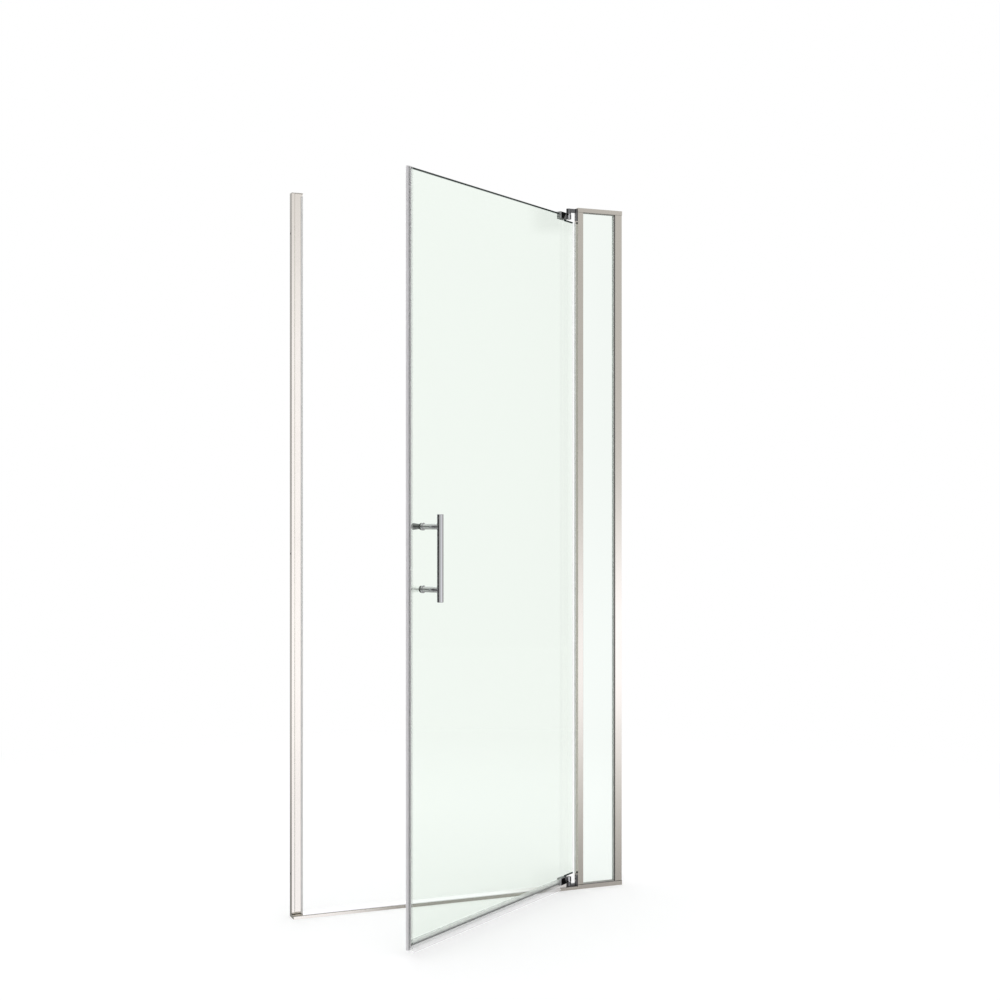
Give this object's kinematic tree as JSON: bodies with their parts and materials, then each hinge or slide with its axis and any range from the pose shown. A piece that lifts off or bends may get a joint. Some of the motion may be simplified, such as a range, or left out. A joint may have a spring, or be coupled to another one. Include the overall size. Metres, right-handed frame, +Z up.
{
  "type": "pivot shower door",
  "caption": "Semi-frameless pivot shower door of clear glass with a narrow fixed panel in line, slim satin metal frame, corner pivot clamps, pull bar and low sill.",
  "frame": {"origin": "on the floor under the sill, in the plane of the closed glass, midway between the two walls", "axes": "+X along the wall line towards the hinge side, -Y out of the shower, +Z up"},
  "size_m": [0.9144, 0.4681, 1.83],
  "materials": {
    "satin_nickel": "brushed",
    "chrome": "polished",
    "dark_chrome": "polished, dark",
    "clear_glass": "clear tempered",
    "clear_vinyl": "clear flexible",
    "glazing_rubber": "matte",
    "magnet": "matte",
    "steel": "turned",
    "nylon": "moulded"
  },
  "bodies": {
    "frame": {"left_wall_profile": "satin_nickel", "strike_jamb": "satin_nickel", "strike_magnet_seal": "clear_vinyl", "strike_magnet_strip": "magnet", "left_jamb_screws": "steel", "left_jamb_cap": "nylon", "right_wall_profile": "satin_nickel", "panel_jamb": "satin_nickel", "right_jamb_screws": "steel", "hinge_post": "satin_nickel", "hinge_post_seal": "clear_vinyl", "fixed_glass": "clear_glass", "post_glazing_gasket": "glazing_rubber", "jamb_glazing_gasket": "glazing_rubber", "top_glazing_gasket": "glazing_rubber", "bottom_glazing_gasket": "glazing_rubber", "setting_blocks": "glazing_rubber", "panel_top_rail": "satin_nickel", "panel_bottom_rail": "satin_nickel", "top_rail_screws": "steel", "bottom_rail_screws": "steel", "sill_rail": "satin_nickel", "upper_pivot_bracket": "dark_chrome", "lower_pivot_bracket": "dark_chrome", "upper_pivot_pin": "steel", "lower_pivot_pin": "steel", "upper_bracket_screws": "steel", "lower_bracket_screws": "steel"},
    "door": {"door_glass": "clear_glass", "door_edge_seal": "clear_vinyl", "door_magnet_strip": "magnet", "door_sweep": "clear_vinyl", "upper_clamp_outer": "dark_chrome", "upper_clamp_inner": "dark_chrome", "upper_clamp_gaskets": "clear_vinyl", "upper_clamp_screws": "steel", "upper_pivot_bush": "nylon", "lower_clamp_outer": "dark_chrome", "lower_clamp_inner": "dark_chrome", "lower_clamp_gaskets": "clear_vinyl", "lower_clamp_screws": "steel", "lower_pivot_bush": "nylon", "handle_bar": "chrome", "upper_handle_post": "chrome", "lower_handle_post": "chrome", "handle_washers": "nylon", "handle_sleeves": "nylon", "handle_studs": "steel", "upper_inner_knob": "chrome", "lower_inner_knob": "chrome"}
  },
  "joints": [
    {"name": "door_swing", "type": "hinge", "parent": "frame", "child": "door", "pos_m": [0.30375, 0, 0], "axis": [0, 0, 1], "range_deg": [-35, 55]}
  ]
}
